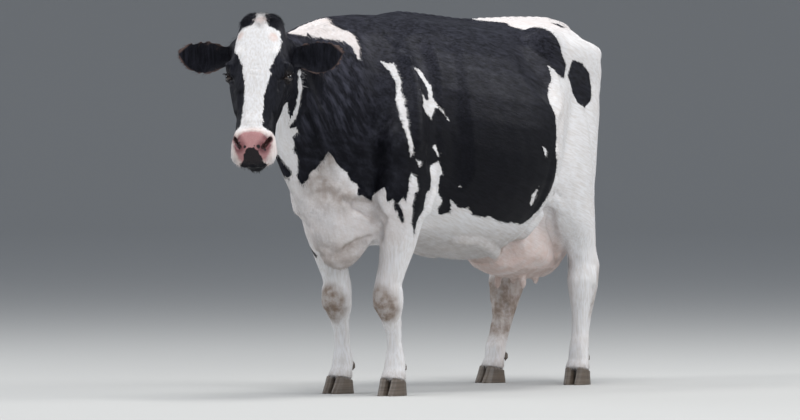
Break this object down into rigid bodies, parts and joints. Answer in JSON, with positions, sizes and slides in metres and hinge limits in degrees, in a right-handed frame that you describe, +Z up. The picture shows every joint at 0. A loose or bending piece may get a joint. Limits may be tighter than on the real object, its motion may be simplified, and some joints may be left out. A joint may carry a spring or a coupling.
{
  "type": "standing dairy cow",
  "caption": "Life-size still model of a black and white dairy cow, standing square with the head turned to its left.",
  "frame": {"origin": "on the floor under the middle of the animal's outer box", "axes": "-Y ahead towards the muzzle, +X to the animal's left, +Z up"},
  "size_m": [0.8246, 2.4052, 1.4656],
  "materials": {
    "head_coat": "short black hair with a white blaze, satin",
    "body_coat": "short black hair with white patches, satin",
    "leg_coat": "short white hair, stained brown at the knees, satin",
    "ear": "black haired skin with a pale pink rim, satin",
    "muzzle": "moist pink and grey skin, bare and glossy",
    "udder": "fine white hair over pink skin, satin",
    "teat": "bare pink skin, satin",
    "switch": "long white hair, matte",
    "claw": "grey-brown horn, satin",
    "dewclaw": "dark horn, satin",
    "eye": "dark brown wet eyeball, glossy"
  },
  "bodies": {
    "root": {"barrel": "body_coat", "chest": "body_coat", "ear_left": "ear", "ear_right": "ear", "eye_left": "eye", "eye_right": "eye", "fore_claw_left_inner": "claw", "fore_claw_left_outer": "claw", "fore_claw_right_inner": "claw", "fore_claw_right_outer": "claw", "fore_dewclaw_left_inner": "dewclaw", "fore_dewclaw_left_outer": "dewclaw", "fore_dewclaw_right_inner": "dewclaw", "fore_dewclaw_right_outer": "dewclaw", "fore_shank_left": "leg_coat", "fore_shank_right": "leg_coat", "forearm_left": "leg_coat", "forearm_right": "leg_coat", "gaskin_left": "leg_coat", "gaskin_right": "leg_coat", "head": "head_coat", "hind_claw_left_inner": "claw", "hind_claw_left_outer": "claw", "hind_claw_right_inner": "claw", "hind_claw_right_outer": "claw", "hind_dewclaw_left_inner": "dewclaw", "hind_dewclaw_left_outer": "dewclaw", "hind_dewclaw_right_inner": "dewclaw", "hind_dewclaw_right_outer": "dewclaw", "hind_shank_left": "leg_coat", "hind_shank_right": "leg_coat", "hindquarters": "body_coat", "lower_jaw": "head_coat", "muzzle": "muzzle", "neck": "body_coat", "tail": "body_coat", "tail_switch": "switch", "teat_front_left": "teat", "teat_front_right": "teat", "teat_rear_left": "teat", "teat_rear_right": "teat", "udder": "udder"}
  },
  "joints": []
}
